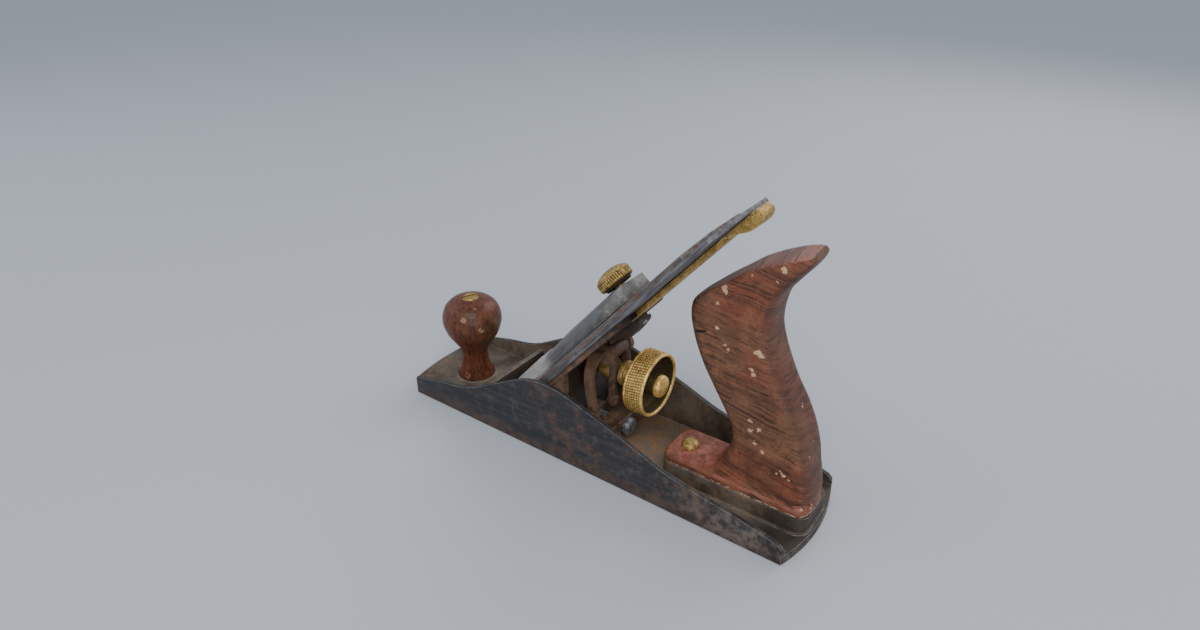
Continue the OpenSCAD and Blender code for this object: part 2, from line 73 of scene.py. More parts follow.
def colour(red, green, blue):
    """A colour as a paint chart gives it, 0 to 255, made linear for the shader."""
    shares = [c / 255 for c in (red, green, blue)]
    return [((c + 0.055) / 1.055) ** 2.4 if c > 0.04 else c / 12.92 for c in shares] + [1]


def bed_matrix(s):
    """Local Z square to the bed and local X up it, at a point s up the bed."""
    m = Matrix((BED_UP, BED_OUT.cross(BED_UP), BED_OUT)).transposed().to_4x4()
    m.translation = BED_FOOT + BED_UP * (s * MM)
    return m


def curve(points, steps):
    """A smooth curve through points, with equal steps between each pair."""
    out = []
    for i in range(len(points) - 1):
        a, b, c, d = (Vector(points[min(max(k, 0), len(points) - 1)]) for k in (i - 1, i, i + 1, i + 2))
        for k in range(steps):
            t = k / steps
            out.append(0.5 * (2 * b + (c - a) * t + (2 * a - 5 * b + 4 * c - d) * t * t
                              + (3 * b - a - 3 * c + d) * t ** 3))
    return out + [Vector(points[-1])]


def mark(layer, face, amount=1.0):
    """Paints a value on a face's corners, for the finishes to read."""
    for corner in face.loops:
        corner[layer] = amount


def new_layer(bm, name):
    """The named value that a mesh carries on its corners, 0 until it is marked."""
    return bm.loops.layers.float.get(name) or bm.loops.layers.float.new(name)


def make_piece(name, bm, body, finish, stands_for, sharp=32):
    """Turns a bmesh into a shaded piece that rides on a body and stands for CAD nodes."""
    mesh = bpy.data.meshes.new(name)
    bm.to_mesh(mesh)
    bm.free()
    mesh.shade_smooth()
    mesh.set_sharp_from_angle(angle=math.radians(sharp))
    mesh.materials.append(finish)
    piece = bpy.data.objects.new(name, mesh)
    bpy.context.scene.collection.objects.link(piece)
    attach(piece, body)
    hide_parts(*stands_for)


def break_edges(bm, width, least=35):
    """Rounds the sharp edges as use does, and marks the rounded strips as worn."""
    worn = new_layer(bm, "worn")
    sharp = math.radians(least)
    edges = [e for e in bm.edges if len(e.link_faces) == 2 and e.calc_face_angle(0) > sharp]
    made = bmesh.ops.bevel(bm, geom=edges, offset=width * MM, offset_type="OFFSET", affect="EDGES",
                           segments=2, profile=0.5, material=-1, clamp_overlap=True)
    for face in made["faces"]:
        mark(worn, face)


def copy_of(node):
    """The CAD node's own shape, welded and with its flat faces whole again."""
    weld, flat = 0.002 * MM, math.radians(0.6)
    bm = bmesh.new()
    bm.from_mesh(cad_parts[node].data)
    bmesh.ops.remove_doubles(bm, verts=bm.verts, dist=weld)
    bmesh.ops.dissolve_limit(bm, angle_limit=flat, verts=bm.verts, edges=bm.edges)
    return bm


def worn_copy(node, body, finish, width):
    """A CAD node's shape with its edges rubbed, under a finish of its own."""
    bm = copy_of(node)
    break_edges(bm, width)
    make_piece(node.replace("_", "-") + "-worn", bm, body, finish, [node])


def spun(profile, steps=96):
    """A turned shape about local Z from (radius, height) points in millimetres."""
    bm = bmesh.new()
    verts = [bm.verts.new((r * MM, 0, z * MM)) for r, z in profile]
    for a, b in zip(verts, verts[1:]):
        bm.edges.new((a, b))
    bmesh.ops.spin(bm, geom=bm.verts[:] + bm.edges[:], cent=(0, 0, 0), axis=(0, 0, 1),
                   angle=2 * math.pi, steps=steps, use_merge=True)
    bmesh.ops.remove_doubles(bm, verts=bm.verts, dist=0.001 * MM)
    bmesh.ops.recalc_face_normals(bm, faces=bm.faces)
    return bm


def knurl(bm, radius, low, high, teeth, lean, rows=0):
    """Presses teeth into a turned rim: lean slants them, rows cuts them across, dirt stays in the cuts."""
    depth, rim_band, run_out, dirt = 0.5, 0.3, 0.6, 0.9
    grime_and_shade = new_layer(bm, "grime_and_shade")
    for v in bm.verts:
        r = math.hypot(v.co.x, v.co.y)
        z = v.co.z / MM
        if abs(r - radius * MM) < rim_band * MM and low - 0.001 <= z <= high + 0.001:
            tooth = 0.5 - 0.5 * math.cos(math.atan2(v.co.y, v.co.x) * teeth + lean * (z - low))
            row = 0.5 - 0.5 * math.cos((z - low) * rows)
            cut = max(tooth, row ** 2) * max(0, min(1, (z - low) / run_out, (high - z) / run_out))
            v.co.x -= depth * MM * cut * v.co.x / r
            v.co.y -= depth * MM * cut * v.co.y / r
            for corner in v.link_loops:
                corner[grime_and_shade] = dirt * cut ** 2


class Finish:
    """One procedural material, built up a node at a time on object coordinates."""

    def __init__(self, name):
        self.material = bpy.data.materials.new(name)
        self.material.use_nodes = True
        self.tree = self.material.node_tree
        self.shader = self.tree.nodes["Principled BSDF"]
        self.place = self.node("ShaderNodeTexCoord").outputs["Object"]

    def node(self, kind, **settings):
        made = self.tree.nodes.new(kind)
        for key, value in settings.items():
            setattr(made, key, value)
        return made

    def feed(self, socket, value):
        if isinstance(value, bpy.types.NodeSocket):
            self.tree.links.new(value, socket)
        elif value is not None:
            socket.default_value = value

    def turned(self, stretch, turn, at=None):
        """Object coordinates turned, then drawn out along the turned axes, for grain that runs one way."""
        m = self.node("ShaderNodeMapping", vector_type="TEXTURE")
        self.feed(m.inputs["Vector"], at or self.place)
        m.inputs["Scale"].default_value = stretch
        m.inputs["Rotation"].default_value = [math.radians(a) for a in turn]
        return m.outputs["Vector"]

    def wander(self, size, amount):
        """Coordinates pushed about by amount millimetres over blotches of the given size."""
        n = self.node("ShaderNodeTexNoise")
        self.feed(n.inputs["Vector"], self.place)
        n.inputs["Scale"].default_value = 1 / (size * MM)
        n.inputs["Detail"].default_value = 3
        centred = self.node("ShaderNodeVectorMath", operation="SUBTRACT")
        self.feed(centred.inputs[0], n.outputs["Color"])
        centred.inputs[1].default_value = (0.5, 0.5, 0.5)
        pushed = self.node("ShaderNodeVectorMath", operation="SCALE")
        self.feed(pushed.inputs[0], centred.outputs[0])
        pushed.inputs["Scale"].default_value = amount * 2 * MM
        moved = self.node("ShaderNodeVectorMath", operation="ADD")
        self.feed(moved.inputs[0], self.place)
        self.feed(moved.inputs[1], pushed.outputs[0])
        return moved.outputs[0]

    def noise(self, size, detail=5, rough=0.6, warp=0.0, at=None):
        """Soft noise whose blotches are about size millimetres across."""
        n = self.node("ShaderNodeTexNoise")
        self.feed(n.inputs["Vector"], at or self.place)
        n.inputs["Scale"].default_value = 1 / (size * MM)
        n.inputs["Detail"].default_value = detail
        n.inputs["Roughness"].default_value = rough
        n.inputs["Distortion"].default_value = warp
        return n.outputs["Fac"]

    def cells(self, size, at):
        """Distance to scattered points about size millimetres apart."""
        n = self.node("ShaderNodeTexVoronoi", feature="F1")
        self.feed(n.inputs["Vector"], at)
        n.inputs["Scale"].default_value = 1 / (size * MM)
        return n.outputs["Distance"]

    def steps(self, value, low, high):
        """0 below low and 1 above high, softly; with low the larger one it is turned round."""
        n = self.node("ShaderNodeMapRange", interpolation_type="SMOOTHSTEP")
        flip = low > high
        self.feed(n.inputs["Value"], value)
        n.inputs["From Min"].default_value = min(low, high)
        n.inputs["From Max"].default_value = max(low, high)
        n.inputs["To Min"].default_value = 1 if flip else 0
        n.inputs["To Max"].default_value = 0 if flip else 1
        return n.outputs["Result"]

    def sum(self, kind, a, b=None):
        """One step of arithmetic, such as ADD or MAXIMUM, on one or two values."""
        n = self.node("ShaderNodeMath", operation=kind)
        self.feed(n.inputs[0], a)
        self.feed(n.inputs[1], b)
        return n.outputs[0]

    def times(self, *values):
        out = values[0]
        for value in values[1:]:
            out = self.sum("MULTIPLY", out, value)
        return out

    def mix(self, share, a, b, how="MIX"):
        """Blends colour a towards colour b by a share."""
        first_colour, second_colour, mixed_colour = 6, 7, 2
        n = self.node("ShaderNodeMix", data_type="RGBA", blend_type=how)
        self.feed(n.inputs["Factor"], share)
        self.feed(n.inputs[first_colour], a)
        self.feed(n.inputs[second_colour], b)
        return n.outputs[mixed_colour]

    def axis(self, which):
        """One of the object coordinates, in metres: 0 along the plane, 1 across it, 2 up."""
        n = self.node("ShaderNodeSeparateXYZ")
        self.feed(n.inputs[0], self.place)
        return n.outputs[which]

    def along(self, way, start):
        """Metres from a point along a direction, read off the object coordinates."""
        n = self.node("ShaderNodeVectorMath", operation="DOT_PRODUCT")
        self.feed(n.inputs[0], self.place)
        n.inputs[1].default_value = way
        return self.sum("SUBTRACT", n.outputs["Value"], start)

    def away_from(self, point, at):
        """Metres from a point given in millimetres."""
        n = self.node("ShaderNodeVectorMath", operation="DISTANCE")
        self.feed(n.inputs[0], at)
        n.inputs[1].default_value = Vector(point) * MM
        return n.outputs["Value"]

    def painted(self, name):
        """A value that the piece's mesh carries, such as where it is worn."""
        return self.node("ShaderNodeAttribute", attribute_name=name).outputs["Fac"]

    def done(self, base, rough, height=None, metal=0.0, relief=0.0, coat=None, gloss=0.5):
        """Feeds the shader, with relief millimetres of bump where a height is given."""
        self.feed(self.shader.inputs["Base Color"], base)
        self.feed(self.shader.inputs["Roughness"], rough)
        self.feed(self.shader.inputs["Metallic"], metal)
        self.shader.inputs["Specular IOR Level"].default_value = gloss
        if coat:
            self.shader.inputs["Coat Weight"].default_value = coat
            self.shader.inputs["Coat Roughness"].default_value = 0.14
        if height is not None:
            bump = self.node("ShaderNodeBump")
            bump.inputs["Strength"].default_value = 1.0
            bump.inputs["Distance"].default_value = relief * MM
            self.feed(bump.inputs["Height"], height)
            self.feed(self.shader.inputs["Normal"], bump.outputs["Normal"])
        return self.material


def casting_patina():
    """Casting: slate iron streaked along its sides, browner near the sole, olive-brown patina inside."""
    f = Finish("casting-iron")
    big, mid, fine = f.noise(24, 6, 0.62, 0.4), f.noise(6, 7, 0.7), f.noise(1.0, 5, 0.72)
    scratch = f.noise(2.4, 6, 0.68, 0.2, f.turned((18, 1, 1), (0, 2, 0)))
    along, height = f.axis(0), f.axis(2)
    slate = f.mix(f.steps(scratch, 0.36, 0.66), colour(38, 40, 44), colour(56, 55, 56))
    slate = f.mix(f.times(f.steps(mid, 0.50, 0.66), 0.6), slate, colour(78, 72, 70))
    warm = f.mix(f.steps(mid, 0.36, 0.64), colour(58, 48, 46), colour(82, 68, 62))
    near_sole = f.sum("ADD", f.steps(height, 0.011, 0.002), f.times(f.sum("SUBTRACT", big, 0.43), 3.0))
    side = f.mix(f.steps(near_sole, 0.34, 0.80), slate, warm)
    rust = f.mix(f.steps(fine, 0.36, 0.64), colour(80, 56, 47), colour(122, 86, 66))
    patches, crumbs = f.noise(20, 7, 0.72, 0.6), f.noise(3.6, 6, 0.72)
    rusty = f.times(f.steps(patches, 0.51, 0.62), f.steps(crumbs, 0.42, 0.62), 0.65)
    side = f.mix(rusty, side, rust)
    heel = f.times(f.steps(along, -0.050, -0.096), f.steps(mid, 0.42, 0.62), 0.7)
    side = f.mix(heel, side, colour(112, 102, 93))
    side = f.mix(f.times(f.steps(fine, 0.58, 0.72), 0.7), side, colour(32, 31, 33))
    patina = f.mix(f.steps(big, 0.38, 0.62), colour(76, 66, 57), colour(112, 100, 87))
    patina = f.mix(f.times(f.steps(f.noise(15, 6, 0.7), 0.52, 0.62), 0.7), patina, colour(100, 98, 94))
    patina = f.mix(f.times(f.steps(mid, 0.50, 0.66), 0.7), patina, colour(126, 96, 74))
    patina = f.mix(f.steps(f.noise(1.8, 6, 0.72), 0.56, 0.70), patina, colour(48, 40, 34))
    # Painted light: the tray floor is made lighter and more ochre than the patina, fading out towards the
    # heel.
    tray_light = f.mix(f.steps(mid, 0.40, 0.60), colour(124, 112, 98), colour(150, 116, 86))
    in_tray = f.times(f.painted("tray_light"), f.steps(along, -0.085, -0.035), f.steps(fine, 0.64, 0.5))
    patina = f.mix(in_tray, patina, tray_light)
    # Painted shade: the back of the throat is darkened near black-brown.
    patina = f.mix(f.times(f.painted("throat"), 0.85), patina, colour(40, 31, 26))
    patina = f.mix(f.times(f.steps(along, -0.094, -0.108), 0.85), patina, colour(48, 41, 37))
    heel_end = f.times(f.steps(along, -0.109, -0.117), f.steps(mid, 0.66, 0.44))
    side = f.mix(f.times(heel_end, 0.75), side, colour(40, 36, 35))
    base = f.mix(f.painted("outside"), patina, side)
    wear = f.times(f.painted("worn"), f.steps(f.noise(5, 6, 0.72), 0.34, 0.54))
    base = f.mix(f.times(wear, 0.85), base, colour(190, 182, 175))
    specks = f.steps(f.cells(2.8, f.wander(1.5, 0.6)), 0.15, 0.05)
    base = f.mix(f.times(specks, f.steps(mid, 0.50, 0.60), 0.6), base, colour(136, 122, 110))
    rough = f.sum("ADD", f.times(mid, 0.34), f.sum("ADD", f.times(rusty, 0.2), 0.36))
    relief = f.sum("ADD", f.times(mid, 0.5), f.sum("ADD", f.times(fine, 0.5), f.times(scratch, 0.25)))
    return f.done(base, rough, relief, metal=0.2, relief=0.34, gloss=0.35)


def frog_rust():
    """The frog's brown rust, orange where it flakes, pale on its rubbed edges, with painted shade near black
    on the face in its back.
    """
    f = Finish("frog-rust")
    big, mid, fine = f.noise(11, 6, 0.6, 0.5), f.noise(3.6, 7, 0.72), f.noise(0.8, 5, 0.72)
    base = f.mix(f.steps(big, 0.38, 0.62), colour(72, 55, 43), colour(102, 78, 58))
    base = f.mix(f.times(f.steps(mid, 0.50, 0.66), 0.8), base, colour(124, 90, 64))
    orange = f.times(f.steps(f.noise(8, 6, 0.7, 0.4), 0.57, 0.68), f.steps(fine, 0.36, 0.56))
    base = f.mix(f.times(orange, 0.8), base, colour(142, 86, 56))
    base = f.mix(f.steps(fine, 0.58, 0.72), base, colour(56, 42, 34))
    upper = f.along(BED_UP, BED_UP.dot(BED_FOOT) + 0.094)
    steel_end = f.times(f.steps(upper, 0.0, 0.008), f.steps(mid, 0.34, 0.54))
    base = f.mix(f.times(steel_end, 0.9), base, colour(52, 47, 45))
    # Painted shade: the face behind the ribs is darkened near black.
    hollow = f.mix(f.steps(mid, 0.4, 0.7), colour(34, 28, 24), colour(58, 44, 35))
    base = f.mix(f.painted("hollow"), base, hollow)
    wear = f.times(f.painted("worn"), f.steps(mid, 0.26, 0.46))
    base = f.mix(f.times(wear, 0.9), base, colour(184, 168, 154))
    height = f.sum("ADD", f.times(mid, 0.6), f.times(fine, 0.5))
    return f.done(base, f.sum("ADD", f.times(mid, 0.25), 0.46), height, metal=0.1, relief=0.34)


def steel(name, dark, light, rust_share, rough=0.58, metal=0.15):
    """Old tool steel: streaked along the bed, spotted with rust, rubbed lighter at its edges."""
    f = Finish(name)
    streak = f.noise(1.8, 6, 0.66, 0.2, f.turned((12, 1, 1), (0, BED_ANGLE, 0)))
    mid, fine = f.noise(5, 6, 0.68), f.noise(0.9, 5, 0.72)
    base = f.mix(f.steps(streak, 0.36, 0.64), dark, light)
    base = f.mix(f.times(f.steps(mid, 0.54, 0.68), 0.8), base, [c * 0.5 for c in dark[:3]] + [1])
    rust = f.mix(f.steps(fine, 0.36, 0.64), colour(78, 54, 46), colour(114, 78, 62))
    share = f.times(f.steps(f.noise(9, 7, 0.72, 0.5), 0.66 - rust_share, 0.76 - rust_share),
                    f.steps(f.noise(2, 5, 0.7), 0.36, 0.56))
    base = f.mix(share, base, rust)
    wear = f.times(f.painted("worn"), f.steps(f.noise(4, 5, 0.7), 0.34, 0.52))
    base = f.mix(f.times(wear, 0.5), base, colour(128, 122, 119))
    rust_rough = f.sum("ADD", f.times(share, 0.35), f.sum("ADD", f.times(streak, 0.16), rough - 0.08))
    height = f.sum("ADD", f.times(fine, 0.5), f.times(streak, 0.5))
    return f.done(base, rust_rough, height, metal=metal, relief=0.12)


def cap_metal():
    """Lever cap: grey worn plating, a painted highlight pale grey to white over its lower part, brown spots
    all over.
    """
    f = Finish("lever-cap-metal")
    mid, fine = f.noise(6, 7, 0.68, 0.3), f.noise(1.1, 5, 0.72)
    streak = f.noise(2.2, 6, 0.68, 0.3, f.turned((12, 1, 1), (0, BED_ANGLE, 0)))
    up = f.along(BED_UP, BED_UP.dot(BED_FOOT))
    base = f.mix(f.steps(mid, 0.34, 0.66), colour(74, 73, 73), colour(98, 96, 95))
    base = f.mix(f.times(f.steps(streak, 0.50, 0.66), 0.5), base, colour(114, 111, 110))
    base = f.mix(f.times(f.steps(streak, 0.46, 0.34), 0.4), base, colour(62, 60, 60))
    # Painted highlight: the lower end is made pale grey to white, up to a ragged edge.
    patch = f.times(f.sum("SUBTRACT", f.noise(11, 6, 0.7), 0.5), 0.9)
    lower = f.sum("ADD", f.steps(up, 0.094, 0.034), patch)
    lower_highlight = f.mix(f.steps(fine, 0.3, 0.7), colour(150, 142, 137), colour(220, 214, 209))
    base = f.mix(f.times(f.steps(lower, 0.36, 0.80), 0.9), base, lower_highlight)
    crown = f.times(f.steps(up, 0.100, 0.112), f.steps(f.noise(6, 5, 0.7), 0.50, 0.64))
    base = f.mix(f.times(crown, 0.3), base, colour(160, 158, 158))
    spots = f.times(f.steps(f.noise(2.0, 6, 0.74), 0.58, 0.70), f.steps(mid, 0.42, 0.58))
    base = f.mix(f.times(spots, 0.7), base, colour(98, 74, 62))
    wear = f.times(f.painted("worn"), f.steps(f.noise(5, 5, 0.7), 0.36, 0.54))
    base = f.mix(f.times(wear, 0.5), base, colour(176, 172, 170))
    height = f.sum("ADD", f.times(mid, 0.5), f.sum("ADD", f.times(fine, 0.4), f.times(streak, 0.4)))
    return f.done(base, f.sum("ADD", f.times(mid, 0.30), 0.30), height, metal=0.35, relief=0.16)


def brass(name, dirt, polish=0.36, grain=1.0, tone=1.0):
    """Old brass: golden where hands rub it, black-brown in the speckles, with dirt in the knurl cuts, painted
    shade under the thumbscrew's head and a darker hollow back on the wheel.
    """
    f = Finish(name)
    mid, fine = f.noise(3.6, 7, 0.72, 0.4), f.noise(0.7, 5, 0.74)
    gold, pale_gold = (colour(*(tone * c for c in chart)) for chart in ((150, 117, 58), (202, 168, 98)))
    base = f.mix(f.steps(mid, 0.34, 0.66), gold, pale_gold)
    base = f.mix(f.times(f.steps(fine, 0.50, 0.60), 0.75), base, colour(104, 78, 36))
    speck = f.steps(f.noise(1.0 * grain, 6, 0.78), 0.60 - 0.12 * dirt, 0.68 - 0.12 * dirt)
    base = f.mix(f.times(speck, 0.9), base, colour(60, 48, 28))
    # Darker where marked: dirt in the knurl cuts, painted shade under the thumbscrew's head, and the wheel's
    # hollow back.
    base = f.mix(f.times(f.painted("grime_and_shade"), f.steps(mid, 0.16, 0.46)), base, colour(50, 45, 32))
    wear = f.times(f.painted("worn"), f.steps(fine, 0.3, 0.6))
    base = f.mix(f.times(wear, 0.6), base, colour(228, 204, 152))
    rough = f.sum("ADD", f.times(speck, 0.3), f.sum("ADD", f.times(f.painted("grime_and_shade"), 0.2), polish))
    height = f.sum("ADD", f.times(fine, 0.6), f.times(mid, 0.4))
    return f.done(base, rough, height, metal=0.5, relief=0.16)


# Cream chips on the near side of the grip: place along the plane, height, and radius.
CHIPS = [
    (-71, 119, 1.33), (-71.6, 117.6, 0.91), (-68, 111, 0.7), (-69, 99, 0.98), (-73.5, 91.5, 0.77),
    (-75, 89.5, 0.84), (-89, 93, 1.47), (-91, 92, 0.98), (-87, 83.5, 0.84), (-88.4, 81.5, 0.91),
    (-89, 57, 0.98), (-90, 51.5, 1.05), (-94, 53.5, 1.05), (-93, 45.5, 0.91), (-83, 128.5, 0.56),
    (-96.5, 134.5, 1.33), (-74.5, 127.5, 0.84), (-94, 129, 0.56), (-97, 42, 0.77), (-107, 35, 0.63),
    (-108.5, 34, 0.84), (-111, 32.5, 0.56), (-105, 33.5, 0.42), (-119, 19, 1.12),
]
GRIP_HALF = 12
# The nick in the grip's front edge: its middle, and the direction square to it.
NOTCH = Vector((-60.6, 0, 94.4)) * MM
NOTCH_SQUARE = Vector((0.35, 0, 0.94))


def rosewood_layers(f, along, knob=False):
    """Red-brown wood in thin layers, crossed by dark fine lines that come in groups."""
    broad = f.noise(4.4, 4, 0.55, 0.3, along)
    streak = f.noise(1.7, 5, 0.66, 0.3, along)
    line = f.noise(0.8, 4, 0.62, 0.1, along)
    pore = f.noise(0.45, 5, 0.7)
    tone, patch, group = f.noise(30, 4, 0.55), f.noise(9, 6, 0.7), f.noise(13, 4, 0.6, 0.3)
    brown, red, dark = colour(100, 70, 51), colour(116, 65, 48), colour(52, 34, 28)
    base = f.mix(f.steps(tone, 0.40, 0.60), brown, red)
    base = f.mix(f.times(f.steps(patch, 0.46, 0.62), 0.55), base, colour(134, 86, 62))
    base = f.mix(f.times(f.steps(broad, 0.50, 0.36), 0.55), base, colour(70, 46, 36))
    base = f.mix(f.times(f.steps(streak, 0.50, 0.60), f.steps(patch, 0.60, 0.42), 0.7), base, dark)
    dark_lines = f.times(f.steps(line, 0.50, 0.60), f.steps(group, 0.42, 0.58), 0.5 if knob else 0.85)
    base = f.mix(dark_lines, base, dark)
    light_lines = f.times(f.steps(line, 0.46, 0.36), f.steps(group, 0.60, 0.44), 0.4)
    base = f.mix(light_lines, base, colour(150, 104, 78))
    base = f.mix(f.times(f.steps(pore, 0.56, 0.66), 0.3 if knob else 0.6), base, colour(50, 36, 29))
    base = f.mix(f.times(f.steps(pore, 0.42, 0.32), 0.2 if knob else 0.5), base, colour(158, 124, 100))
    return base, line, pore


def bare_wood(f, pore):
    """The cream wood that a chip lays bare."""
    return f.mix(f.steps(pore, 0.4, 0.6), colour(204, 172, 142), colour(164, 124, 98))


def wood_relief(f, line, pore, chips):
    """How deep the lines, the pores and the chips sink."""
    return f.sum("SUBTRACT", f.sum("ADD", f.times(line, -0.6), f.times(pore, -0.5)), f.times(chips, 0.9))


def small_chips(f, apart, ragged):
    """Chips about a millimetre across, scattered over parts of the wood."""
    parts = f.steps(f.noise(8, 3, 0.6), 0.54, 0.58)
    return f.times(f.steps(f.cells(apart, ragged), 0.13, 0.10), parts)


def grip_chips(f, ragged):
    """The chips listed for the near side, and small ones over the rest of the handle."""
    nearest = None
    for x, z, radius in CHIPS:
        gap = f.sum("SUBTRACT", f.away_from((x, GRIP_HALF, z), ragged), radius * MM)
        nearest = gap if nearest is None else f.sum("MINIMUM", nearest, gap)
    scattered = f.times(small_chips(f, 5.4, ragged), f.steps(f.axis(1), 0.009, 0.006))
    return f.sum("MAXIMUM", f.steps(nearest, 0.0003, -0.0001), scattered)


def grip_notch(f):
    """The short dark nick, on the near side only."""
    along = f.sum("ABSOLUTE", f.sum("SUBTRACT", f.axis(0), NOTCH.x))
    across = f.sum("ABSOLUTE", f.along(NOTCH_SQUARE, NOTCH_SQUARE.dot(NOTCH)))
    near_side = f.steps(f.axis(1), 0, 0.002)
    return f.times(f.steps(along, 0.0034, 0.0026), f.steps(across, 0.0009, 0.0004), near_side)


def tote_rosewood():
    """The handle's wood: lines along the grip's slope, pinkish horn, redder toe, painted shade on its back,
    cream chips.
    """
    f = Finish("tote-rosewood")
    base, line, pore = rosewood_layers(f, f.turned((60, 12, 1), (0, -9, 0), f.wander(26, 3.0)))
    stain = f.noise(3.2, 7, 0.76, 0.3)
    base = f.mix(f.times(f.steps(stain, 0.53, 0.66), 0.5), base, colour(60, 43, 33))
    across = f.noise(6, 4, 0.6, 0.2, f.turned((1, 30, 30), (0, 0, 8)))
    bands = f.steps(f.sum("ABSOLUTE", f.sum("SUBTRACT", across, 0.5)), 0.035, 0.010)
    horn = f.mix(f.steps(across, 0.48, 0.56), colour(162, 116, 104), colour(134, 100, 92))
    horn = f.mix(f.times(bands, 0.8), horn, colour(84, 64, 60))
    base = f.mix(f.times(f.painted("pale"), f.steps(pore, 0.66, 0.44), 0.8), base, horn)
    speck = f.steps(f.noise(1.5, 6, 0.74), 0.55, 0.63)
    toe = f.mix(f.steps(f.noise(5, 5, 0.7), 0.4, 0.6), colour(120, 64, 50), colour(150, 92, 78))
    toe = f.mix(speck, toe, colour(56, 34, 30))
    base = f.mix(f.times(f.painted("toe"), f.steps(f.noise(7, 5, 0.7), 0.36, 0.56)), base, toe)
    # Painted shade: faces turned towards the heel are darkened.
    base = f.mix(f.times(f.painted("back_shade"), f.steps(pore, 0.66, 0.40), 0.7), base, colour(66, 48, 42))
    chips = grip_chips(f, f.wander(1.5, 1.7))
    base = f.mix(f.times(grip_notch(f), 0.9), base, colour(24, 17, 14))
    base = f.mix(chips, base, bare_wood(f, pore))
    dots = f.times(f.painted("worn"), f.steps(f.noise(1.3, 3, 0.7), 0.46, 0.54))
    base = f.mix(f.times(dots, 0.8), base, colour(200, 176, 156))
    rough = f.sum("ADD", f.times(line, 0.22), 0.38)
    return f.done(base, rough, wood_relief(f, line, pore, chips), relief=0.24, gloss=0.25)


def knob_rosewood():
    """The knob's wood: upright streaks under a thin polish, with a few faint chips."""
    f = Finish("knob-rosewood")
    base, line, pore = rosewood_layers(f, f.turned((1, 1, 14), (0, 0, 0), f.wander(26, 3.0)), knob=True)
    base = f.mix(1.0, base, colour(216, 210, 202), how="MULTIPLY")
    ragged = f.wander(1.5, 1.7)
    large_chips = f.times(f.steps(f.cells(15, ragged), 0.135, 0.11), f.steps(f.noise(10, 3, 0.6), 0.46, 0.50))
    chips = f.times(f.sum("MAXIMUM", large_chips, small_chips(f, 6.75, ragged)), 0.4)
    base = f.mix(chips, base, bare_wood(f, pore))
    rough = f.sum("ADD", f.times(line, 0.22), 0.28)
    return f.done(base, rough, wood_relief(f, line, pore, chips), relief=0.24, coat=0.22, gloss=0.12)


casting_iron = casting_patina()
frog_iron = frog_rust()
blade_steel = steel("blade-steel", colour(63, 62, 66), colour(110, 109, 114), 0.05)
cap_iron_steel = steel("cap-iron-steel", colour(70, 63, 61), colour(108, 99, 96), 0.17)
screw_steel = steel("screw-steel", colour(98, 99, 104), colour(140, 142, 148), 0.02, rough=0.34, metal=0.4)
rusty_steel = steel("rusty-steel", colour(70, 54, 47), colour(104, 82, 70), 0.14, rough=0.5, metal=0.1)
cap_plate = cap_metal()
old_brass = brass("old-brass", dirt=0.78)
wheel_brass = brass("wheel-brass", dirt=0.4, polish=0.38, grain=1.2, tone=1.3)
dull_brass = brass("dull-brass", dirt=0.55, polish=0.46)
tote_wood = tote_rosewood()
knob_wood = knob_rosewood()


def end_arc(bow):
    """Radius of an end of the casting that bows out past its straight sides."""
    return (HALF_WIDTH ** 2 + bow ** 2) / (2 * bow)


def casting():
    """The plane's body, with its outer faces told apart for the finish, the tray floor marked for painted
    light and the back of its throat for painted shade.
    """
    bm = copy_of("body")
    outside, tray_light, throat = (new_layer(bm, name) for name in ("outside", "tray_light", "throat"))
    skin = 0.4
    break_edges(bm, skin, least=40)
    heel_radius, toe_radius = end_arc(HEEL_BOW), end_arc(TOE_BOW)
    heel_centre, toe_centre = HEEL_END + heel_radius, TOE_END - toe_radius
    ends_from = 112
    for face in bm.faces:
        x, y, z = face.calc_center_median() / MM
        side = abs(y) > HALF_WIDTH - 0.25 or z < skin
        heel = x < -ends_from and math.hypot(x - heel_centre, y) > heel_radius - skin
        toe = x > ends_from and math.hypot(x - toe_centre, y) > toe_radius - skin
        cheek_top = abs(y) > HALF_WIDTH - CHEEK_THICKNESS - 0.1 and face.normal.z > 0.3
        if side or heel or toe or cheek_top:
            mark(outside, face)
        # The back of the throat is marked for painted shade, the tray floor for painted light.
        throat_back = 60 < x < 71.2 and z > 5.5 and face.normal.x < -0.2
        tray_floor = -100 < x < 20 and z < 8 and face.normal.z > 0.5
        if throat_back:
            mark(throat, face)
        if tray_floor:
            mark(tray_light, face)
    make_piece("casting", bm, "casting", casting_iron, ["body"])


def frog():
    """The frog, with its rubbed edges and painted shade on the face behind its ribs."""
    bm = copy_of("frog")
    hollow = new_layer(bm, "hollow")
    hollow_half = 20.5
    for side in (1, -1):
        bmesh.ops.bisect_plane(bm, geom=bm.verts[:] + bm.edges[:] + bm.faces[:],
                               plane_co=(0, side * hollow_half * MM, 0), plane_no=(0, 1, 0))
    break_edges(bm, 0.5)
    for face in bm.faces:
        x, y, _ = face.calc_center_median() / MM
        # The face behind the ribs is marked for painted shade.
        if face.normal.x < -0.9 and x > 7 and abs(y) < hollow_half + 0.1:
            mark(hollow, face)
    make_piece("frog-worn", bm, "frog_block", frog_iron, ["frog"])


def section(bm, front, back, half, front_round, back_round, front_form, back_form):
    """One slice of the grip: a ring between a front and a back point, rounded at each end."""
    middle, run = (front + back) / 2, (front - back)
    reach = run.length / 2
    run.normalize()
    ring = bmesh.ops.create_circle(bm, cap_ends=False, radius=1, segments=72)["verts"]
    front_round, back_round = min(front_round, reach), min(back_round, reach)
    for v in ring:
        c, s = v.co.x, v.co.y
        form = front_form if c > 0 else back_form
        lean = math.copysign(abs(c) ** form, c)
        along = reach - front_round + front_round * lean if c > 0 else back_round - reach + back_round * lean
        across = half * math.copysign(abs(s) ** form, s)
        place = middle + run * along
        v.co = Vector((place.x, across, place.y)) * MM
    return ring


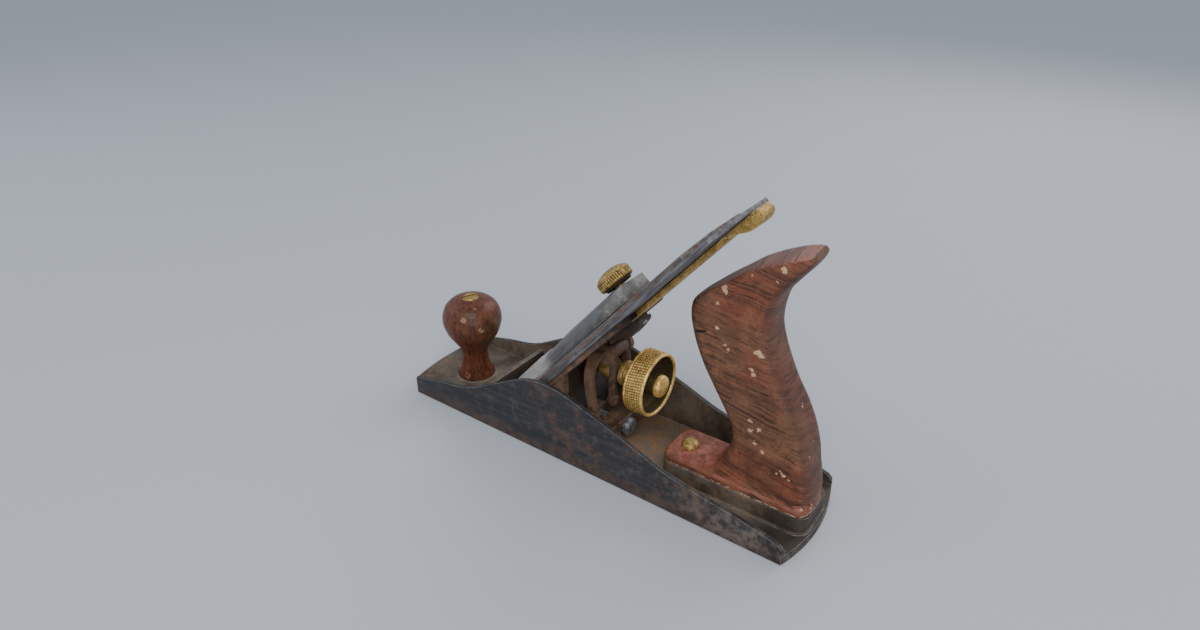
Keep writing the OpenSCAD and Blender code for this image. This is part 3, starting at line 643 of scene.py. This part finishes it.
# The handle's slices from its base to its horn: front point, back point, half width,
# front and back rounding, and how square the front and the back are.
TOTE_SLICES = [
    (-43.7, 14.4, -122.2, 14.4, 13.8, 8.0, 6.0, 0.62, 0.80),
    (-43.6, 15.0, -122.2, 14.9, 14.0, 8.2, 6.0, 0.62, 0.80),
    (-43.6, 17.2, -122.2, 16.4, 14.0, 8.2, 6.0, 0.62, 0.80),
    (-44.4, 18.1, -122.1, 17.4, 13.4, 8.0, 6.4, 0.62, 0.85),
    (-46.4, 18.5, -122.0, 18.0, 12.9, 7.6, 7.0, 0.62, 0.90),
    (-57.0, 18.6, -121.9, 18.8, 12.7, 8.6, 8.0, 0.70, 1.00),
    (-64.0, 18.9, -121.8, 19.8, 12.5, 9.6, 9.0, 0.80, 1.00),
    (-69.4, 20.4, -121.7, 21.4, 12.3, 8.4, 7.0, 0.72, 0.62),
    (-72.9, 23.8, -121.4, 24.2, 12.1, 8.4, 7.0, 0.72, 0.62),
    (-75.7, 29.2, -120.4, 29.6, 12.0, 8.4, 7.0, 0.72, 0.62),
    (-77.9, 35.6, -118.9, 36.6, 12.0, 8.4, 7.0, 0.72, 0.62),
    (-78.6, 42.4, -117.6, 43.8, 12.0, 8.4, 7.0, 0.72, 0.62),
    (-77.0, 49.2, -114.4, 54.0, 12.0, 8.4, 7.0, 0.72, 0.62),
    (-72.4, 57.0, -109.2, 65.0, 12.0, 8.4, 7.0, 0.72, 0.62),
    (-66.4, 66.4, -103.6, 73.8, 12.0, 8.4, 7.0, 0.72, 0.62),
    (-60.6, 76.0, -99.0, 82.8, 12.0, 8.4, 7.0, 0.72, 0.62),
    (-56.0, 86.0, -95.4, 91.0, 12.0, 8.4, 7.0, 0.72, 0.62),
    (-53.2, 95.6, -92.8, 99.0, 12.0, 8.0, 7.0, 0.72, 0.62),
    (-52.4, 101.6, -92.2, 103.8, 12.0, 7.6, 7.0, 0.72, 0.62),
    (-52.6, 105.4, -92.2, 106.8, 12.0, 7.0, 7.0, 0.80, 0.62),
    (-54.4, 108.2, -92.4, 109.4, 12.0, 5.6, 7.0, 0.66, 0.62),
    (-58.0, 111.4, -92.7, 111.8, 12.0, 3.8, 7.0, 0.46, 0.62),
    (-64.8, 117.2, -93.4, 115.4, 12.0, 2.8, 7.0, 0.34, 0.62),
    (-72.3, 123.2, -94.5, 118.8, 12.0, 2.6, 7.0, 0.32, 0.62),
    (-79.2, 128.8, -96.2, 122.2, 12.0, 2.6, 7.0, 0.32, 0.62),
    (-86.0, 133.0, -98.9, 125.8, 12.0, 2.6, 4.5, 0.34, 0.70),
    (-92.1, 136.2, -101.3, 129.2, 11.8, 2.6, 4.5, 0.36, 0.70),
    (-97.4, 138.8, -103.7, 132.4, 11.2, 2.6, 4.5, 0.42, 0.70),
    (-101.6, 140.6, -105.9, 135.4, 10.2, 2.4, 3.0, 0.56, 0.70),
    (-104.2, 141.6, -107.2, 137.8, 8.8, 1.8, 2.0, 0.74, 0.70),
    (-105.8, 141.9, -107.7, 139.6, 6.8, 1.0, 1.0, 0.72, 0.70),
]


def tote():
    """The handle: slices from its base up the grip and out to the blunt horn, joined into one skin."""
    bm = bmesh.new()
    worn, pale, toe, back_shade = (new_layer(bm, name) for name in ("worn", "pale", "toe", "back_shade"))
    foot, toe_top, grip_from = 15.4, 22, 60
    rims = []
    for fx, fz, bx, bz, *shape in curve(TOTE_SLICES, 3):
        ring = section(bm, Vector((fx, fz)), Vector((bx, bz)), *shape)
        rims.append(list({e for v in ring for e in v.link_edges}))
    for lower, upper in zip(rims, rims[1:]):
        bmesh.ops.bridge_loops(bm, edges=lower + upper)
    for rim in (rims[0], rims[-1]):
        bmesh.ops.contextual_create(bm, geom=rim)
    bmesh.ops.recalc_face_normals(bm, faces=bm.faces)
    for face in bm.faces:
        z = face.calc_center_median().z / MM
        n = face.normal
        if n.z > 0.5:
            mark(pale if z > grip_from else toe, face, min(1, (n.z - 0.5) / 0.3))
        # Faces turned towards the heel are marked for painted shade.
        if n.x < -0.3 and z > toe_top:
            mark(back_shade, face, min(1, (-n.x - 0.3) / 0.4))
        if z < foot:
            mark(worn, face)
    make_piece("tote-grip", bm, "casting", tote_wood, ["tote"], sharp=40)


def knob():
    """The front knob, turned about its rod, with the seat for its brass nut."""
    bore, seat, seat_floor, foot = 3.25, 5.1, 50.1, 6.1
    outline = curve([(10.8, foot), (10.75, 7.2), (9.6, 10.6), (8.0, 15.8), (7.6, 20.5), (8.6, 25.2),
                     (11.7, 30.2), (15.4, 36), (17.3, 41.5), (KNOB_RADIUS, 45), (17.2, 49),
                     (15.2, 53.5), (11.4, 56.9), (7.2, 58.7), (5.6, KNOB_TOP)], 5)
    nut_seat = [(bore, seat_floor), (seat, seat_floor), (seat, KNOB_TOP - 0.2)]
    bm = spun(nut_seat + outline[::-1] + [(bore, foot), (bore, seat_floor)])
    bmesh.ops.translate(bm, verts=bm.verts, vec=(KNOB_PLACE * MM, 0, 0))
    make_piece("front-knob", bm, "casting", knob_wood, ["knob"])


def depth_wheel():
    """The brass adjusting wheel: slanted teeth round its rim, a deep hollow back and a domed boss."""
    bore, bore_end, boss = 4.66, 33.9, 6.0
    front = [(bore, bore_end), (bore, WHEEL_FRONT), (15.9, WHEEL_FRONT), (16.6, 22.0), (17.0, 22.4)]
    rim = [(WHEEL_RADIUS, 22.9 + 0.36 * i) for i in range(28)]
    lip = [(17.0, 33.0), (16.7, 33.5), (16.1, WHEEL_BACK), (15.6, 33.3), (15.3, 32.6), (15.1, 30.0),
           (14.9, 27.2), (14.0, 26.0)]
    hollow = curve([(12.8, 25.5), (9.0, 25.1), (7.2, 25.5), (6.4, 26.8), (6.1, 29.0), (boss, 33.4),
                    (5.8, 35.2), (4.9, 36.3), (2.8, 36.95), (0, 37.1)], 3)
    bm = spun(front + rim + lip + hollow + [(0, bore_end), (bore, bore_end)], 336)
    worn, grime_and_shade = new_layer(bm, "worn"), new_layer(bm, "grime_and_shade")
    for face in bm.faces:
        c = face.calc_center_median() / MM
        r = math.hypot(c.x, c.y)
        # The wheel's hollow back is marked to be darker.
        if boss - 0.1 < r < 15.25 and 24 < c.z < 33.2:
            mark(grime_and_shade, face, 0.95)
        if (r > 15.3 and c.z > 33.1) or (r > 16.0 and c.z < 22.6):
            mark(worn, face, 0.3)
    knurl(bm, WHEEL_RADIUS, rim[0][1], rim[-1][1], teeth=72, lean=0.62, rows=4.6)
    bmesh.ops.rotate(bm, verts=bm.verts, cent=(0, 0, 0), matrix=Matrix.Rotation(math.radians(-90), 3, "Y"))
    bmesh.ops.translate(bm, verts=bm.verts, vec=(0, 0, STUD_HEIGHT * MM))
    make_piece("depth-wheel", bm, "wheel", wheel_brass, ["depth_wheel"], sharp=50)


def thumbscrew():
    """The brass thumbscrew's head: toothed rim, speckled dome, small flange underneath."""
    bore, bore_end = 2.25, 18.9
    flange = [(bore, bore_end), (bore, 12.1), (7.2, 12.1), (7.5, 12.4), (7.5, 13.25), (8.7, 13.3),
              (9.4, 13.7)]
    rim = [(THUMBSCREW_RADIUS, 14.2 + 0.33 * i) for i in range(12)]
    dome = curve([(9.5, 18.2), (8.9, 19.0), (7.6, 19.9), (5.6, 20.8), (3.0, 21.5), (0, 21.7)], 3)
    bm = spun(flange + rim + dome + [(0, bore_end), (bore, bore_end)], 288)
    grime_and_shade = new_layer(bm, "grime_and_shade")
    # Painted shade: the underside of the head, below its rim, is marked to be darkened.
    for face in bm.faces:
        if face.calc_center_median().z < 13.5 * MM:
            mark(grime_and_shade, face)
    knurl(bm, THUMBSCREW_RADIUS, rim[0][1], rim[-1][1], teeth=44, lean=0.5)
    bmesh.ops.transform(bm, matrix=bed_matrix(THUMBSCREW_PLACE), verts=bm.verts)
    make_piece("thumbscrew-knurled", bm, "thumb_head", old_brass, ["thumbscrew_head"], sharp=50)


def toe_screw():
    """The smooth brass dome of the screw in the handle's toe, with its shank."""
    shank, tip, head, under_head = 2.4, 4.2, 4.7, 18.25
    dome = curve([(4.5, 19.8), (3.8, 20.8), (2.3, 21.6), (0, 21.9)], 4)
    bm = spun([(0, tip), (shank, tip), (shank, under_head), (head, under_head), (head, 18.9)] + dome, 64)
    bmesh.ops.translate(bm, verts=bm.verts, vec=(TOE_SCREW_PLACE * MM, 0, 0))
    make_piece("toe-screw-dome", bm, "casting", old_brass, ["tote_toe_screw"])


casting()
tote()
knob()
depth_wheel()
thumbscrew()
toe_screw()

frog()
worn_copy("cutting_iron", "iron_set", blade_steel, 0.25)
worn_copy("cap_iron", "iron_set", cap_iron_steel, 0.25)
worn_copy("lateral_lever", "lateral", dull_brass, 0.5)
worn_copy("yoke", "yoke_lever", rusty_steel, 0.35)
worn_copy("frog_fork_plate", "frog_block", rusty_steel, 0.25)
worn_copy("depth_collar", "collar", old_brass, 0.3)
worn_copy("lever_cap", "cap", cap_plate, 0.5)

CARRIED = {
    "frog_clamp_screws": rusty_steel, "frog_clamp_washers": rusty_steel, "frog_adjusting_screw": screw_steel,
    "fork_plate_screw": rusty_steel, "cap_iron_screw": screw_steel, "lever_cap_screw": screw_steel,
    "thumbscrew_shank": old_brass, "lateral_disc": screw_steel, "lateral_rivet": screw_steel,
    "depth_stud": screw_steel, "yoke_pin": rusty_steel, "knob_rod": screw_steel,
    "knob_nut": old_brass, "tote_rod": screw_steel,
}
for name, finish in CARRIED.items():
    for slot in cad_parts[name].material_slots:
        slot.material = finish


def floor():
    """A plain pale floor, a hair under the sole."""
    half_side, gap = 6, 0.5 * MM
    bm = bmesh.new()
    bmesh.ops.create_grid(bm, x_segments=1, y_segments=1, size=half_side)
    mesh = bpy.data.meshes.new("floor")
    bm.to_mesh(mesh)
    bm.free()
    sheet = bpy.data.objects.new("floor", mesh)
    bpy.context.scene.collection.objects.link(sheet)
    sheet.location.z = -gap
    mesh.materials.append(Finish("floor-paper").done(colour(178, 182, 188), 0.9))


# Each lamp's name, place and size in metres, power in watts, and colour.
LAMPS = [
    ("key", (-0.5, 0.75, 1.1), 0.9, 9, (255, 250, 243)),
    ("fill", (0.9, 0.5, 0.7), 1.0, 3, (235, 242, 255)),
    ("back", (-0.2, -0.9, 0.8), 0.8, 5, (255, 250, 244)),
    ("low", (-0.9, 0.8, 0.35), 1.0, 5, (255, 250, 246)),
]
LIT_POINT = Vector((0, 0, 0.05))


def lamps():
    """Soft studio light: a pale surround and four large lamps, the key on the near side."""
    world = bpy.data.worlds.new("studio")
    world.use_nodes = True
    surround = world.node_tree.nodes["Background"].inputs
    surround["Color"].default_value = colour(196, 204, 214)
    surround["Strength"].default_value = 1.05
    bpy.context.scene.world = world
    for name, place, size, power, tint in LAMPS:
        light = bpy.data.lights.new(name, "AREA")
        light.size = size
        light.energy = power
        light.color = colour(*tint)[:3]
        lamp = bpy.data.objects.new(name, light)
        bpy.context.scene.collection.objects.link(lamp)
        lamp.location = place
        lamp.rotation_euler = (LIT_POINT - Vector(place)).to_track_quat("-Z", "Y").to_euler()


# The photograph's viewpoint, in the scene's metres and degrees, with lens and film in millimetres.
CAMERA_PLACE = (-0.19783, 0.28097, 0.26634)
CAMERA_TURN = (61.281, 0, -144.327)
CAMERA_LENS, CAMERA_FILM = 22.81, 36


def camera():
    """The photograph's own viewpoint."""
    eye = bpy.data.cameras.new("camera")
    eye.lens = CAMERA_LENS
    eye.sensor_width = CAMERA_FILM
    eye.clip_start = 0.01
    stand = bpy.data.objects.new("camera", eye)
    bpy.context.scene.collection.objects.link(stand)
    stand.location = CAMERA_PLACE
    stand.rotation_euler = [math.radians(a) for a in CAMERA_TURN]
    bpy.context.scene.camera = stand


floor()
lamps()
camera()
